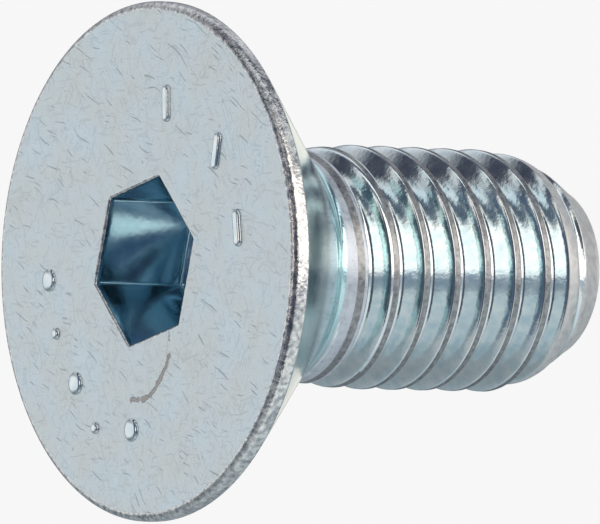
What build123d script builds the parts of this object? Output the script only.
from build123d import *
import os
from math import atan2, ceil, cos, degrees, radians, tan

# Hexagon socket countersunk screw: a head with a 90 degree seat, forged in one piece with
# its shank, and a right-hand metric coarse thread rolled up to just under the head.
# The origin is the centre of the flat end, and +Z runs up the axis to the head's flat face,
# so the screw stands on its end. All sizes are in millimetres and degrees.

# Whole screw
screw_length = 20.0

# Head
rim_diameter = 20.5
seat_angle = 90.0
land_height = 0.65  # the round edge of the head, from its face down to the seat
face_edge_rounding = 0.32
seat_edge_rounding = 0.1

# Hexagon socket
socket_across_flats = 6.0
socket_depth = 4.2
socket_bottom_angle = 120.0
socket_mouth_rounding = 0.1

# Neck between the seat and the thread
neck_inset = 0.4  # how far the neck stays inside the nominal radius
neck_height = 0.4
neck_fillet = 0.5

# Thread
nominal_diameter = 10.0
thread_pitch = 1.5
thread_angle = 60.0
crest_relief = 0.11  # how far the rolled crests stay inside the nominal radius
crest_lead_in = 3.1  # from the neck down to crests of full height
groove_lead_in = 1.3  # from the neck down to the groove's full depth
runout_turns = 1.0
runout_clearance = 0.1  # how far the groove's root has left the neck where the run-out ends

# Flat end
end_inset = 0.68  # how far the flat end stays inside the thread's root
end_taper_height = 3.2  # from the flat end up to crests of full height
end_shoulder_inset = 0.39  # how far the chamfer's top stays inside the crests

# Radii and heights that follow from them
rim_radius = rim_diameter / 2
nominal_radius = nominal_diameter / 2
neck_radius = nominal_radius - neck_inset
crest_radius = nominal_radius - crest_relief
socket_radius = socket_across_flats / 2
seat_top = screw_length - land_height
neck_top = seat_top - (rim_radius - neck_radius) / tan(radians(seat_angle / 2))
neck_bottom = neck_top - neck_height
crest_top = neck_bottom - crest_lead_in
groove_top = neck_bottom - groove_lead_in

# Metric thread's profile, worked out from its pitch: flanks down to the minor diameter
thread_flank = radians(thread_angle / 2)
sharp_height = thread_pitch / (2 * tan(thread_flank))
root_radius = nominal_radius - 17 / 24 * sharp_height
end_radius = root_radius - end_inset
end_shoulder_radius = crest_radius - end_shoulder_inset
end_chamfer_height = 0.56 * end_taper_height

# The full groove climbs in whole turns from under the end, so both its ends start on +X.
# Above its top it leaves the shank over the run-out, on a cone.
groove_turns = ceil(groove_top / thread_pitch) + 1
groove_bottom = groove_top - groove_turns * thread_pitch
shank_top = groove_top + 0.6 * thread_pitch
runout_height = runout_turns * thread_pitch
runout_rise = neck_radius + runout_clearance - root_radius
runout_cone_angle = degrees(atan2(runout_rise, runout_height))
runout_slant_pitch = thread_pitch / cos(radians(runout_cone_angle))


def blank_outline():
    """Half of the blank's section, beside its axis."""
    with BuildLine() as outline:
        Polyline(
            (0, 0),
            (end_radius, 0),
            (end_shoulder_radius, end_chamfer_height),
            (crest_radius, end_taper_height),
            (crest_radius, crest_top),
            (neck_radius, neck_bottom),
            (neck_radius, neck_top),
            (rim_radius, seat_top),
            (rim_radius, screw_length),
            (0, screw_length),
            close=True,
        )
    return outline


def groove_half_width(radius):
    """Half the groove's width at a radius: seven eighths of the pitch at the nominal one."""
    return thread_pitch * 7 / 16 - (nominal_radius - radius) * tan(thread_flank)


def groove_section(start_height):
    """Section of the thread's groove, in the plane through the axis that holds +X."""
    mouth = groove_half_width(nominal_radius)
    root = groove_half_width(root_radius)
    radial_plane = Plane(origin=(0, 0, start_height), x_dir=(1, 0, 0), z_dir=(0, -1, 0))
    with BuildSketch(radial_plane) as section:
        with BuildLine():
            Polyline(
                (root_radius, -root),
                (nominal_radius, -mouth),
                (nominal_radius, mouth),
                (root_radius, root),
                close=True,
            )
        make_face()
    return section


# Blank: the head with its socket, the neck and a smooth shank with a tapered end
with BuildPart() as blank:
    with BuildSketch(Plane.XZ):
        add(blank_outline().line)
        make_face()
    revolve(axis=Axis.Z)

    circles = blank.edges().filter_by(GeomType.CIRCLE)
    fillet(circles.sort_by(Axis.Z)[-1], face_edge_rounding)
    circles = blank.edges().filter_by(GeomType.CIRCLE)
    fillet(circles.filter_by_position(Axis.Z, seat_top, seat_top), seat_edge_rounding)
    circles = blank.edges().filter_by(GeomType.CIRCLE)
    fillet(circles.filter_by_position(Axis.Z, neck_top, neck_top), neck_fillet)

    with BuildSketch(Plane.XY.offset(screw_length)):
        RegularPolygon(socket_radius, 6, major_radius=False)
    extrude(amount=-socket_depth, mode=Mode.SUBTRACT)
    socket_floor = screw_length - socket_depth
    socket_point = socket_floor - socket_radius / tan(radians(socket_bottom_angle / 2))
    with BuildSketch(Plane.XZ):
        with BuildLine():
            Polyline(
                (0, socket_floor),
                (socket_radius, socket_floor),
                (0, socket_point),
                close=True,
            )
        make_face()
    revolve(axis=Axis.Z, mode=Mode.SUBTRACT)
    head_face = blank.faces().sort_by(Axis.Z)[-1]
    fillet(head_face.inner_wires()[0].edges(), socket_mouth_rounding)

# Threaded shank: the groove runs up a plain rod, and the blank's shape trims it. The rod
# always starts half a turn above the groove, so every size is cut alike.
with BuildPart() as shank:
    rod_bottom = groove_bottom + thread_pitch / 2
    with BuildSketch(Plane.XY.offset(rod_bottom)):
        Circle(crest_radius)
    extrude(amount=shank_top - rod_bottom)
    with BuildLine() as full_path:
        Helix(
            thread_pitch,
            groove_turns * thread_pitch,
            nominal_radius,
            center=(0, 0, groove_bottom),
        )
    section = groove_section(groove_bottom)
    sweep(section.sketch, path=full_path.line, is_frenet=True, mode=Mode.SUBTRACT)
    add(blank.part, mode=Mode.INTERSECT)

# Whole screw: the head and neck of the blank on the threaded shank, with the run-out
with BuildPart() as screw:
    add(blank.part)
    split(bisect_by=Plane.XY.offset(shank_top), keep=Keep.TOP)
    add(shank.part)
    with BuildLine() as runout_path:
        Helix(
            runout_slant_pitch,
            runout_height,
            nominal_radius,
            center=(0, 0, groove_top),
            cone_angle=runout_cone_angle,
        )
    section = groove_section(groove_top)
    sweep(section.sketch, path=runout_path.line, is_frenet=True, mode=Mode.SUBTRACT)

screw.part.label = "countersunk_screw"
os.makedirs("parts", exist_ok=True)
export_step(screw.part, "parts/countersunk_screw.step")
print("full crests from", round(end_taper_height, 2), "to", round(crest_top, 2))
print("groove of full depth up to", round(groove_top, 2))
print("blank", round(blank.part.volume, 1), "shank", round(shank.part.volume, 1))
print("screw", round(screw.part.volume, 1), "valid", screw.part.is_valid)
